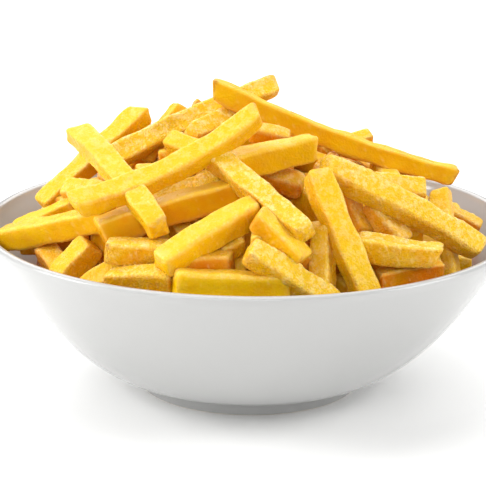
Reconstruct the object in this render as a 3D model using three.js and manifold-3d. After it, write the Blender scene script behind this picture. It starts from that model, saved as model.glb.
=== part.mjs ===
// A portion of french fries heaped in a round white porcelain bowl.
// Millimetres, +Z up, the side a guest looks at faces -Y, the middle of the bowl's foot at the origin.
import * as THREE from 'three';
import Module from 'manifold-3d';

const wasm = await Module();
wasm.setup();

// Bowl
const RIM_RADIUS = 114.5;
const BOWL_HEIGHT = 72;
const FOOT_RADIUS = 47.3;
const FOOT_FLAT = 2.2;          // width of the ring that stands on the table
const FOOT_EDGE = 0.6;          // bevel on each side of that ring
const FOOT_SLOPE = 2.4;         // how far the foot's inside leans in
const FOOT_HEIGHT = 4.5;
const FOOT_FLARE = 1.2;
const RECESS_DEPTH = 3.2;       // hollow under the foot
const FLOOR_RADIUS = 44.5;      // flat floor inside
const FLOOR_HEIGHT = 10;
const RIM_THICKNESS = 3.8;
const RIM_ROUNDING = 1.4;
const WALL_TOP = BOWL_HEIGHT - RIM_ROUNDING;
const WALL_FOOT_RADIUS = 48;
const WALL_FOOT_HEIGHT = 6;
const WALL_START = 0.6;         // the wall leaves the foot this far above its own base
const FLARE = 0.56;             // power of the wall's curve: a steep start that opens to the rim
const WALL_STEPS = 9;
const WALL_SPREAD = 1.8;        // points of the wall gather near the foot, where it bends most
const BOWL_SEGMENTS = 48;
const GAP = 0.3;                // clearance between the heap and the bowl's floor
const WALL_GAP = 0.5;           // the same along the faceted wall

// Heap: the middle of its top layer follows a dome
const DOME_RADIUS = 104;
const DOME_EDGE_HEIGHT = 66;
const DOME_RISE = 54;
const TURN_TO_BACK = [-5, 25];  // y where the front turns into the back
const CORE_DEPTH = { front: 10, back: 16 };   // the solid core lies this far under the dome
const CORE_EDGE_HEIGHT = 58;    // where it meets the wall
const CORE_STEPS = 8;
const CORE_SEGMENTS = 28;

// Fries
const CHAMFER = 0.17;           // share of the width cut off each long edge
const END_INSET = 0.82;         // the cut ends are a little smaller than the middle
const END_LENGTH = 1.6;
const BEND_STEPS = 4;           // rings between the ends of a fry that bends
const INNER = 0.5 - CHAMFER;
const PLAIN = 0.48;

// Cross sections of a fry as shares of its width: with cut edges, and the plain one of the fries
// further down
const CUT_SECTION = [
  [-INNER, -0.5], [INNER, -0.5], [0.5, -INNER], [0.5, INNER],
  [INNER, 0.5], [-INNER, 0.5], [-0.5, INNER], [-0.5, -INNER],
];
const PLAIN_SECTION = [[-PLAIN, -PLAIN], [PLAIN, -PLAIN], [PLAIN, PLAIN], [-PLAIN, PLAIN]];

// Fries stacked on the core: they carry the laid ones and fill the sides and the back
const STACK_TRIES = 6000;
const STACK_RADIUS = 90;
const STACK_CLEARANCE = 1;      // between a fry's end and the wall
const STACK_LENGTH = [46, 80];
const STACK_ACROSS = [8.4, 10.2];
const STACK_LOWEST = -15;       // middle of the lowest ones against the dome
const STACK_HIGHEST = { front: -8, back: 4 };
const STACK_STEP = 1;
const STACK_TILT = 0.09;        // slope against the dome's own
const NESTING = 0.8;            // middle lines come this near, as a share of the width
const PROBES = 9;
const RIDGE = { height: 121, fall: 0.005, slope: 0.28 };   // upper limit, lower to sides and back
const SEED = 21;

const GOLDEN_ANGLE = Math.PI * (3 - Math.sqrt(5));
const UP = new THREE.Vector3(0, 0, 1);

// The fries of the top layer, each laid from one end to the other: width across, turn about its
// own length in degrees, and arch, the rise of its middle.
const LAID_FRIES = [
  // crown of the heap
  { from: [-70, -76, 98], to: [3, -54, 131], across: 9, turn: 34, arch: -7 },
  { from: [-16, -3, 130], to: [87, -3, 93], across: 9.4, turn: -4, arch: -3 },
  { from: [-62, -11, 99], to: [11, 26, 126], across: 9, turn: 48 },
  { from: [-34, -30, 114], to: [-8, -48, 109], across: 8.6, turn: 45 },
  { from: [-25, -16, 113], to: [-2, 2, 119], across: 8.4, turn: 45 },
  { from: [-46, 9, 96], to: [-30, 22, 117], across: 8.6, turn: 60 },
  { from: [-33, 19, 97], to: [-22, 30, 117], across: 6, turn: 50 },
  { from: [0, -22, 116], to: [16, -22, 113], across: 7, turn: 30 },
  { from: [-9, -54, 109], to: [25, -44, 115], across: 10.8, turn: 6 },
  { from: [31, 9, 100], to: [52, 18, 105], across: 6, turn: 25 },
  { from: [-6, -30, 106], to: [26, -15, 108], across: 9, turn: 10 },
  // left side
  { from: [-88, -9, 80], to: [-47, 15, 115], across: 9.2, turn: 20 },
  { from: [-72, -30, 117], to: [-36, -82, 90], across: 9.6, turn: 22, arch: 4 },
  { from: [-77, -19, 89], to: [-53, -35, 91], across: 9, turn: 34 },
  { from: [-80, -6, 80], to: [-48, -42, 91], across: 9, turn: 15 },
  { from: [-100, -10, 69], to: [-73, -27, 85], across: 7.6, turn: 25 },
  { from: [-104, -25, 70], to: [-56, -62, 90], across: 10.2, turn: 17 },
  { from: [-85, -36, 68], to: [-74, -58, 64], across: 9, turn: 20 },
  { from: [-76, -67, 63], to: [-64, -61, 78], across: 11, turn: 12 },
  { from: [-67, -78, 61], to: [-47, -74, 75], across: 10.4, turn: 40 },
  // front
  { from: [-60, -70, 85], to: [3, -57, 102], across: 11, turn: 0 },
  { from: [-38, -50, 94], to: [-12, -52, 103], across: 7.5, turn: 42 },
  { from: [-18, -48, 115], to: [22, -90, 91], across: 9.6, turn: 32 },
  { from: [-57, -81, 81], to: [-26, -80, 78], across: 10.6, turn: 8 },
  { from: [-56, -86, 70], to: [-30, -94, 72], across: 9.4, turn: 15, arch: 1 },
  { from: [-35, -97, 80], to: [2, -75, 97], across: 10.4, turn: 22, arch: 1 },
  { from: [-30, -98, 73], to: [15, -96, 72], across: 10.6, turn: 0, arch: -1 },
  { from: [-28, -89, 76], to: [-7, -90, 79], across: 10, turn: 0 },
  { from: [-11, -84, 81], to: [-3, -80, 85], across: 6.5, turn: 20 },
  { from: [2, -87, 97], to: [20, -92, 80], across: 9.6, turn: 12 },
  { from: [0, -87, 86], to: [16, -87, 87], across: 9, turn: 8 },
  { from: [-1, -98, 86], to: [32, -93, 62], across: 10.6, turn: 42 },
  { from: [13, -84, 78], to: [29, -76, 75], across: 10, turn: 10 },
  { from: [19, -75, 85], to: [30, -68, 86], across: 8.4, turn: 15 },
  { from: [29, -75, 90], to: [28, -92, 64], across: 8.6, turn: 25 },
  { from: [6, -42, 102], to: [21, -48, 99], across: 8.6, turn: 25 },
  // right side
  { from: [29, -58, 110], to: [94, -50, 74], across: 10.8, turn: 52, arch: 3 },
  { from: [26, -71, 111], to: [48, -89, 62], across: 10.8, turn: 30 },
  { from: [27, -35, 101], to: [37, -31, 107], across: 8, turn: 40 },
  { from: [41, -38, 98], to: [72, -27, 92], across: 9.5, turn: 45 },
  { from: [38, -48, 97], to: [45, -60, 82], across: 8.6, turn: -20 },
  { from: [47, -51, 92], to: [61, -63, 79], across: 9.6, turn: 80 },
  { from: [42, -77, 83], to: [75, -77, 79], across: 10.2, turn: 6, arch: -1 },
  { from: [51, -78, 68], to: [77, -66, 70], across: 9.4, turn: 5 },
  { from: [60, -73, 72], to: [75, -65, 65], across: 9, turn: 15 },
  { from: [79, -28, 93], to: [81, -57, 60], across: 9, turn: 30 },
  { from: [78, -2, 80], to: [98, -8, 71], across: 7.4, turn: 10 },
];

function between([low, high], share) {
  return low + (high - low) * share;
}

function frontToBack({ front, back }, y) {
  const [start, end] = TURN_TO_BACK;
  const share = Math.min(Math.max((y - start) / (end - start), 0), 1);
  return between([front, back], share);
}

function wallOuterRadius(z) {
  const share = (z - WALL_FOOT_HEIGHT) / (WALL_TOP - WALL_FOOT_HEIGHT);
  return between([WALL_FOOT_RADIUS, RIM_RADIUS], share ** FLARE);
}

function wallInnerRadius(z) {
  const share = (z - FLOOR_HEIGHT) / (WALL_TOP - FLOOR_HEIGHT);
  return between([FLOOR_RADIUS, RIM_RADIUS - RIM_THICKNESS], share ** FLARE);
}

// Height of the bowl's inside at a distance from its axis
function insideHeight(radius) {
  const share = (radius - FLOOR_RADIUS) / (RIM_RADIUS - RIM_THICKNESS - FLOOR_RADIUS);
  return between([FLOOR_HEIGHT, WALL_TOP], Math.max(share, 0) ** (1 / FLARE));
}

function domeHeight(x, y) {
  return DOME_EDGE_HEIGHT + DOME_RISE * (1 - (x * x + y * y) / DOME_RADIUS ** 2);
}

function wallPoints(radiusAt, low, high, steps) {
  const points = [];
  for (let i = 0; i <= steps; i += 1) {
    const z = between([low, high], (i / steps) ** WALL_SPREAD);
    points.push(new THREE.Vector2(radiusAt(z), z));
  }
  return points;
}

// The lip and the inside of the bowl, from the outer edge of the rim down to the floor
function insideProfile() {
  const lip = [0.25, 0.5, 0.75].map((turn) => new THREE.Vector2(
    RIM_RADIUS - (RIM_THICKNESS / 2) * (1 - Math.cos(turn * Math.PI)),
    WALL_TOP + RIM_ROUNDING * Math.sin(turn * Math.PI),
  ));
  const inner = wallPoints(wallInnerRadius, FLOOR_HEIGHT, WALL_TOP, WALL_STEPS).reverse();
  return [...lip, ...inner];
}

function bowlProfile() {
  const outer = wallPoints(wallOuterRadius, WALL_FOOT_HEIGHT + WALL_START, WALL_TOP, WALL_STEPS);
  const footInside = FOOT_RADIUS - FOOT_FLAT - FOOT_EDGE;
  return [
    new THREE.Vector2(0, RECESS_DEPTH),
    new THREE.Vector2(footInside - FOOT_SLOPE, RECESS_DEPTH),
    new THREE.Vector2(footInside, 0),
    new THREE.Vector2(FOOT_RADIUS - FOOT_EDGE, 0),
    new THREE.Vector2(FOOT_RADIUS, FOOT_EDGE),
    new THREE.Vector2(FOOT_RADIUS + FOOT_FLARE, FOOT_HEIGHT),
    ...outer,
    ...insideProfile(),
    new THREE.Vector2(0, FLOOR_HEIGHT),
  ];
}

// A body of revolution about Z; LatheGeometry turns about Y
function bowlGeometry() {
  const geometry = new THREE.LatheGeometry(bowlProfile(), BOWL_SEGMENTS);
  geometry.rotateX(Math.PI / 2);
  return geometry;
}

function toSolid(positions, triangles) {
  const mesh = new wasm.Mesh({
    numProp: 3,
    vertProperties: new Float32Array(positions),
    triVerts: new Uint32Array(triangles),
  });
  return new wasm.Manifold(mesh);
}

// A solid of revolution about Z: the profile runs from the axis back to the axis
function turnedSolid(profile, segments) {
  const positions = [0, 0, profile[0].y, 0, 0, profile[profile.length - 1].y];
  const triangles = [];
  const rings = profile.slice(1, -1);
  for (const point of rings) {
    for (let k = 0; k < segments; k += 1) {
      const angle = (2 * Math.PI * k) / segments;
      positions.push(point.x * Math.cos(angle), point.x * Math.sin(angle), point.y);
    }
  }
  const at = (ring, k) => 2 + ring * segments + (k % segments);
  const top = rings.length - 1;
  for (let k = 0; k < segments; k += 1) {
    triangles.push(0, at(0, k + 1), at(0, k));
    triangles.push(1, at(top, k), at(top, k + 1));
    for (let ring = 0; ring < top; ring += 1) {
      triangles.push(at(ring, k), at(ring, k + 1), at(ring + 1, k + 1));
      triangles.push(at(ring, k), at(ring + 1, k + 1), at(ring + 1, k));
    }
  }
  return toSolid(positions, triangles);
}

// Where along a fry its cross sections stand, from 0 to 1
function stationsOf(length, arch, section) {
  if (section === PLAIN_SECTION) return [0, 1];
  const end = END_LENGTH / length;
  const bends = [];
  for (let i = 1; arch !== 0 && i <= BEND_STEPS; i += 1) bends.push(i / (BEND_STEPS + 1));
  return [0, end, ...bends, 1 - end, 1];
}

// One fry: a bar of nearly square section, bent to its arch
function frySolid({ from, to, across, turn = 0, arch = 0 }, section) {
  const start = new THREE.Vector3(...from);
  const along = new THREE.Vector3(...to).sub(start);
  const length = along.length();
  along.normalize();
  const side = new THREE.Vector3().crossVectors(UP, along).normalize();
  const top = new THREE.Vector3().crossVectors(along, side);
  const angle = THREE.MathUtils.degToRad(turn);
  const leanTop = top.clone().applyAxisAngle(along, angle);
  const leanSide = side.clone().applyAxisAngle(along, angle);

  const stations = stationsOf(length, arch, section);
  const positions = [];
  for (const share of stations) {
    const isInset = stations.length > 2 && (share === 0 || share === 1);
    const size = isInset ? across * END_INSET : across;
    const centre = start.clone().addScaledVector(along, length * share);
    centre.addScaledVector(leanTop, arch * 4 * share * (1 - share));
    for (const [u, v] of section) {
      const point = centre.clone();
      point.addScaledVector(leanSide, u * size);
      point.addScaledVector(leanTop, v * size);
      positions.push(point.x, point.y, point.z);
    }
  }

  const count = section.length;
  const triangles = [];
  for (let ring = 0; ring < stations.length - 1; ring += 1) {
    for (let j = 0; j < count; j += 1) {
      const a = ring * count + j;
      const b = ring * count + ((j + 1) % count);
      triangles.push(a, b, b + count, a, b + count, a + count);
    }
  }
  const last = (stations.length - 1) * count;
  for (let j = 1; j < count - 1; j += 1) {
    triangles.push(0, j + 1, j);
    triangles.push(last, last + j, last + j + 1);
  }
  return toSolid(positions, triangles);
}

// Repeatable numbers between 0 and 1
function randomFrom(seed) {
  let state = seed;
  return () => {
    state = (state * 1664525 + 1013904223) % 4294967296;
    return state / 4294967296;
  };
}

function fryLength({ from, to }) {
  return Math.hypot(to[0] - from[0], to[1] - from[1], to[2] - from[2]);
}

// Points along the middle line of a fry
function probes({ from, to }) {
  const points = [];
  for (let i = 0; i < PROBES; i += 1) {
    const share = i / (PROBES - 1);
    points.push(from.map((start, axis) => between([start, to[axis]], share)));
  }
  return points;
}

function distanceToFry([x, y, z], { from, to }) {
  const along = [to[0] - from[0], to[1] - from[1], to[2] - from[2]];
  const offset = [x - from[0], y - from[1], z - from[2]];
  const squared = along[0] ** 2 + along[1] ** 2 + along[2] ** 2;
  const dot = offset[0] * along[0] + offset[1] * along[1] + offset[2] * along[2];
  const share = Math.min(Math.max(dot / squared, 0), 1);
  return Math.hypot(
    offset[0] - along[0] * share,
    offset[1] - along[1] * share,
    offset[2] - along[2] * share,
  );
}

function isClear(fry, others) {
  const points = probes(fry);
  return others.every((other) => {
    const near = (NESTING * (fry.across + other.across)) / 2;
    const gap = Math.abs(fry.from[0] + fry.to[0] - other.from[0] - other.to[0]) / 2;
    if (gap > (fryLength(fry) + fryLength(other)) / 2 + near) return true;
    return points.every((point) => distanceToFry(point, other) >= near);
  });
}

function isInBowl({ from, to, across }) {
  return [from, to].every(([x, y, z]) => {
    const wall = insideHeight(Math.hypot(x, y) + across / 2);
    return z - across / 2 > wall + STACK_CLEARANCE;
  });
}

// The stacked fries keep lower than the crown, which falls to both sides and to the back
function isUnderRidge({ from, to, across }) {
  return [from, to].every(([x, y, z]) => {
    const ridge = RIDGE.height - RIDGE.fall * x * x - RIDGE.slope * y;
    return z + across / 2 < ridge;
  });
}

// A fry that lies along the dome at a height against it
function fryOnDome({ x, y, heading, length, across, tilt }, height) {
  const alongX = Math.cos(heading);
  const alongY = Math.sin(heading);
  const slope = tilt - (2 * DOME_RISE * (x * alongX + y * alongY)) / DOME_RADIUS ** 2;
  const middle = domeHeight(x, y) + height;
  const run = length / 2 / Math.hypot(1, slope);
  return {
    from: [x - alongX * run, y - alongY * run, middle - slope * run],
    to: [x + alongX * run, y + alongY * run, middle + slope * run],
    across,
  };
}

// Spots spread by the golden angle; each fry takes the lowest place that is free
function stackedFries() {
  const random = randomFrom(SEED);
  const fries = [];
  for (let i = 0; i < STACK_TRIES; i += 1) {
    const radius = STACK_RADIUS * Math.sqrt(random());
    const spot = {
      x: radius * Math.cos(i * GOLDEN_ANGLE),
      y: radius * Math.sin(i * GOLDEN_ANGLE),
      heading: Math.PI * random(),
      length: between(STACK_LENGTH, random()),
      across: between(STACK_ACROSS, random()),
      tilt: between([-STACK_TILT, STACK_TILT], random()),
    };
    const highest = frontToBack(STACK_HIGHEST, spot.y);
    for (let height = STACK_LOWEST; height < highest; height += STACK_STEP) {
      const fry = fryOnDome(spot, height);
      if (isInBowl(fry) && isUnderRidge(fry) && isClear(fry, [...LAID_FRIES, ...fries])) {
        fries.push(fry);
        break;
      }
    }
  }
  return fries;
}

// The core fills the bowl and lies under the dome, deeper at the back
function coreSolid() {
  const points = wallPoints(wallInnerRadius, FLOOR_HEIGHT, CORE_EDGE_HEIGHT, CORE_STEPS);
  const edge = points[points.length - 1].x;
  const profile = [new THREE.Vector2(0, FLOOR_HEIGHT), ...points];
  for (let i = CORE_STEPS - 1; i >= 0; i -= 1) {
    profile.push(new THREE.Vector2((edge * i) / CORE_STEPS, CORE_EDGE_HEIGHT + 1));
  }
  return turnedSolid(profile, CORE_SEGMENTS).warp((point) => {
    if (point[2] <= CORE_EDGE_HEIGHT) return;
    point[2] = domeHeight(point[0], point[1]) - frontToBack(CORE_DEPTH, point[1]);
  });
}

// The bowl and its clearance, to cut from the heap
function bowlGuard() {
  const clearance = new THREE.Vector2(-WALL_GAP, GAP);
  const outside = RIM_RADIUS + WALL_GAP;
  return turnedSolid([
    new THREE.Vector2(0, 0),
    new THREE.Vector2(outside, 0),
    new THREE.Vector2(outside, WALL_TOP),
    ...insideProfile().map((point) => point.add(clearance)),
    new THREE.Vector2(0, FLOOR_HEIGHT + GAP),
  ], BOWL_SEGMENTS);
}

function heapGeometry() {
  let heap = coreSolid();
  for (const fry of LAID_FRIES) heap = heap.add(frySolid(fry, CUT_SECTION));
  for (const fry of stackedFries()) heap = heap.add(frySolid(fry, PLAIN_SECTION));
  heap = heap.subtract(bowlGuard());
  // the largest body is the heap; scraps cut off by the bowl are left out
  const bodies = heap.decompose();
  bodies.sort((a, b) => b.volume() - a.volume());
  const mesh = bodies[0].getMesh();
  const positions = new Float32Array(mesh.vertProperties);
  const geometry = new THREE.BufferGeometry();
  geometry.setAttribute('position', new THREE.BufferAttribute(positions, 3));
  geometry.setIndex(new THREE.BufferAttribute(new Uint32Array(mesh.triVerts), 1));
  geometry.computeVertexNormals();
  return geometry;
}

function named(name, geometry, colour, roughness) {
  const material = new THREE.MeshStandardMaterial({ color: colour, roughness, metalness: 0 });
  const mesh = new THREE.Mesh(geometry, material);
  mesh.name = name;
  return mesh;
}

const part = new THREE.Group();
part.name = 'french_fries_portion';
part.add(named('bowl', bowlGeometry(), 0xf2f2f0, 0.15));
part.add(named('fries_heap', heapGeometry(), 0xf2b632, 0.6));

export default part;
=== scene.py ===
"""French fries heaped in a white porcelain bowl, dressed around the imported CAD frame.

Sizes are in millimetres in the code and turned to metres when a mesh is made. +Z is up, the
guest's side faces -Y, and the middle of the bowl's foot stands at the origin.
"""
import logging
import math
from collections.abc import Callable, Sequence
from dataclasses import dataclass, field
from enum import Enum
from functools import partial

import bpy
import numpy as np
from mathutils import Matrix, Vector

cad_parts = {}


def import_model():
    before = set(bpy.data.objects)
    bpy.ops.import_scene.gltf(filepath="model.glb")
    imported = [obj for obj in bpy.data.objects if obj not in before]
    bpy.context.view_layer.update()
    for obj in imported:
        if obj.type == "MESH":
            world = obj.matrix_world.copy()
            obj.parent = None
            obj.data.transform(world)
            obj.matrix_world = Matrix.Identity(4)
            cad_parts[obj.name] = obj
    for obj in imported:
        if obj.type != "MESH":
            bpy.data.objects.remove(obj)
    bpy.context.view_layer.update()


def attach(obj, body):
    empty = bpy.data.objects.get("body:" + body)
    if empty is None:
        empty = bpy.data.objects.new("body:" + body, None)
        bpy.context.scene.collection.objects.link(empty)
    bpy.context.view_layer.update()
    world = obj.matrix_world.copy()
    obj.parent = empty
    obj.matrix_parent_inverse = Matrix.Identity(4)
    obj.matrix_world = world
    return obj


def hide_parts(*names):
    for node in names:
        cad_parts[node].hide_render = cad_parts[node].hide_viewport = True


Array = np.ndarray
LOG = logging.getLogger("fries")
MM = 0.001
GOLDEN_ANGLE = math.pi * (3 - math.sqrt(5))
TONE_STEP = 0.618  # from one fry's tone to the next, so that neighbours differ


class Slot(Enum):
    """Material slots of the record."""

    PORCELAIN = "porcelain"
    POTATO = "fried_potato"


@dataclass(frozen=True)
class Fry:
    """One fry: its two ends in mm, its width, and how it lies and looks."""

    start: tuple[float, float, float]  # middle of the first cut end
    end: tuple[float, float, float]  # middle of the second cut end
    across: float  # width of the square section
    # turn about its own length in degrees, positive rolls the top towards the guest
    turn: float = 0.0
    arch: float = 0.0  # rise of its middle
    tone: float = 0.35  # 0 is golden, 1 deep amber
    crisp: float = 0.25  # how brown its edges and ends are, 0 to 1
    blistered: float = 0.3  # how mealy it is and how many blisters it has, 0 to 1
    # slope of each cut end across its side and across its top
    slants: tuple[tuple[float, float], tuple[float, float]] = ((0, 0), (0, 0))
    blunt: float = 1.0  # how far the rounding of the ends reaches, 1 for a clean cut


# The fries of the top layer, one by one, as they lie in the frame
CROWN_FRIES = (
    Fry((-70, -76, 98), (3, -54, 131), 9, 34, -7, 0.25, 0.7, 0.4),
    Fry((-16, -3, 130), (87, -3, 93), 9.4, -4, -3, 0.3, 0.7, 0.1, ((0, -0.38), (0, 0)), 1.4),
    Fry((-62, -11, 99), (11, 26, 126), 9, 48, 0, 0.3, 0.6, 0.9, blunt=2.2),
    Fry((-34, -30, 114), (-8, -48, 109), 8.6, 45, 0, 0.2, 0.7, 0.4, blunt=1.4),
    Fry((-25, -16, 113), (-2, 2, 119), 8.4, 45, 0, 0.5, 0.4, 0.9),
    Fry((-46, 9, 96), (-30, 22, 117), 8.6, 60, 0, 0.5, 0.5, 0.3),
    Fry((-33, 19, 97), (-22, 30, 117), 6, 50, 0, 0.7, 0.5, 0.3),
    Fry((0, -22, 116), (16, -22, 113), 7, 30, 0, 0.8, 0.8, 0.5),
    Fry((-9, -54, 109), (25, -44, 115), 10.8, 6, 0, 0.15, 0.4, 0.2, ((0, 0), (0, 0.1))),
    Fry((31, 9, 100), (52, 18, 105), 6, 25, 0, 0.5, 0.8, 0.5),
    Fry((-6, -30, 106), (26, -15, 108), 9, 10, 0, 0.9, 0.4, 0.5),
)
LEFT_FRIES = (
    Fry((-88, -9, 80), (-47, 15, 115), 9.2, 20, 0, 0.3, 0.2, 0.5, ((0, 0), (-0.5, 0)), 1.3),
    Fry((-72, -30, 117), (-36, -82, 90), 9.6, 22, 4, 0.15, 0.4, 0.4, ((0.5, 0), (0, 0))),
    Fry((-77, -19, 89), (-53, -35, 91), 9, 34, 0, 0.45, 0.4, 0.6),
    Fry((-80, -6, 80), (-48, -42, 91), 9, 15, 0, 0.8, 0.4, 0.6),
    Fry((-100, -10, 69), (-73, -27, 85), 7.6, 25, 0, 0.25, 0.3, 0.3),
    Fry((-104, -25, 70), (-56, -62, 90), 10.2, 17, 0, 0.25, 0.3, 0.2),
    Fry((-85, -36, 68), (-74, -58, 64), 9, 20, 0, 0.8, 0.4, 0.4),
    Fry((-76, -67, 63), (-64, -61, 78), 11, 12, 0, 0.45, 0.5, 0.5),
    Fry((-67, -78, 61), (-47, -74, 75), 10.4, 40, 0, 0.35, 0.3, 0.4),
)
FRONT_FRIES = (
    Fry((-60, -70, 85), (3, -57, 102), 11, 0, 0, 0.5, 0.4, 0.1),
    Fry((-38, -50, 94), (-12, -52, 103), 7.5, 42, 0, 0.4, 0.5, 0.8),
    Fry((-18, -48, 115), (22, -90, 91), 9.6, 32, 0, 0.3, 0.5, 0.9),
    Fry((-57, -81, 81), (-26, -80, 78), 10.6, 8, 0, 0.35, 0.6, 0.8, blunt=1.5),
    Fry((-56, -86, 70), (-30, -94, 72), 9.4, 15, 1, 0.4, 0.3, 0.6, blunt=1.3),
    Fry((-35, -97, 80), (2, -75, 97), 10.4, 22, 1, 0.2, 0.3, 0.3, blunt=1.3),
    Fry((-30, -98, 73), (15, -96, 72), 10.6, 0, -1, 0.0, 0.2, 0.2, blunt=1.4),
    Fry((-28, -89, 76), (-7, -90, 79), 10, 0, 0, 0.85, 0.4, 0.2),
    Fry((-11, -84, 81), (-3, -80, 85), 6.5, 20, 0, 0.5, 0.3, 0.5),
    Fry((2, -87, 97), (20, -92, 80), 9.6, 12, 0, 0.4, 0.4, 0.3),
    Fry((0, -87, 86), (16, -87, 87), 9, 8, 0, 0.35, 0.3, 0.5),
    Fry((-1, -98, 86), (32, -93, 62), 10.6, 42, 0, 0.25, 0.5, 0.9, blunt=1.9),
    Fry((13, -84, 78), (29, -76, 75), 10, 10, 0, 0.8, 0.3, 0.3),
    Fry((19, -75, 85), (30, -68, 86), 8.4, 15, 0, 0.7, 0.4, 0.4),
    Fry((29, -75, 90), (28, -92, 64), 8.6, 25, 0, 0.55, 0.5, 0.7),
    Fry((6, -42, 102), (21, -48, 99), 8.6, 25, 0, 0.75, 0.4, 0.5, blunt=1.5),
)
RIGHT_FRIES = (
    Fry((29, -58, 110), (94, -50, 74), 10.8, 52, 3, 0.2, 0.5, 1.0, blunt=1.5),
    Fry((26, -71, 111), (48, -89, 62), 10.8, 30, 0, 0.25, 0.6, 0.6, blunt=1.8),
    Fry((27, -35, 101), (37, -31, 107), 8, 40, 0, 0.7, 1.0, 1.0, blunt=1.6),
    Fry((41, -38, 98), (72, -27, 92), 9.5, 45, 0, 0.4, 0.4, 0.7),
    Fry((38, -48, 97), (45, -60, 82), 8.6, -20, 0, 0.9, 0.5, 0.4),
    Fry((47, -51, 92), (61, -63, 79), 9.6, 80, 0, 0.7, 0.5, 0.7),
    Fry((42, -77, 83), (75, -77, 79), 10.2, 6, -1, 0.35, 0.5, 0.9, ((0, 0), (0, 0.45))),
    Fry((51, -78, 68), (77, -66, 70), 9.4, 5, 0, 0.8, 0.3, 0.3),
    Fry((60, -73, 72), (75, -65, 65), 9, 15, 0, 0.8, 0.3, 0.3),
    Fry((79, -28, 93), (81, -57, 60), 9, 30, 0, 0.35, 0.6, 0.6, blunt=1.3),
    Fry((78, -2, 80), (98, -8, 71), 7.4, 10, 0, 0.7, 0.6, 0.5, blunt=1.6),
)


@dataclass
class Draw:
    """Repeatable numbers between 0 and 1. The frame's own heap is stacked with the same ones."""

    state: int

    def next(self) -> float:
        """Returns the next number: the state times 1664525 plus 1013904223, below 2 to the 32."""
        self.state = (self.state * 1664525 + 1013904223) % 4294967296
        return self.state / 4294967296

    def between(self, low: float, high: float) -> float:
        """Returns a number between low and high."""
        return low + (high - low) * self.next()


@dataclass(frozen=True)
class StackRule:
    """How loose fries are stacked on the heap."""

    tries: int  # how many spots are tried
    radius: float  # spots lie within this distance of the axis
    lowest: float  # height of the lowest middles against the dome
    highest_front: float  # limit of that height at the front
    highest_back: float  # limit of that height at the back
    length: tuple[float, float] = (46, 80)  # shortest and longest fry
    across: tuple[float, float] = (8.4, 10.2)  # thinnest and thickest fry
    tilt: float = 0.09  # slope against the dome's own
    nesting: float = 0.8  # how near two middle lines come, as a share of the width
    # most golden and most amber, as shares of the way from golden to amber
    tone: tuple[float, float] = (0.2, 0.8)
    seed: int = 21  # start of the random draw


# Fries on the sides and the back, then two kinds under all others that fill the gaps; the two kinds
# under get a deeper amber tone as painted shade
SIDE_STACK = StackRule(tries=6000, radius=90, lowest=-15, highest_front=-8, highest_back=4)
DEEP_STACK = StackRule(
    tries=2600, radius=92, lowest=-27, highest_front=-9, highest_back=-9, tone=(0.5, 1.0), seed=7,
)
SHORT_STACK = StackRule(
    tries=5000, radius=86, lowest=-21, highest_front=-12, highest_back=-15,
    length=(22, 44), across=(7.4, 9.0), tilt=0.25, nesting=0.68, tone=(0.5, 1.0), seed=3,
)


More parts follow.
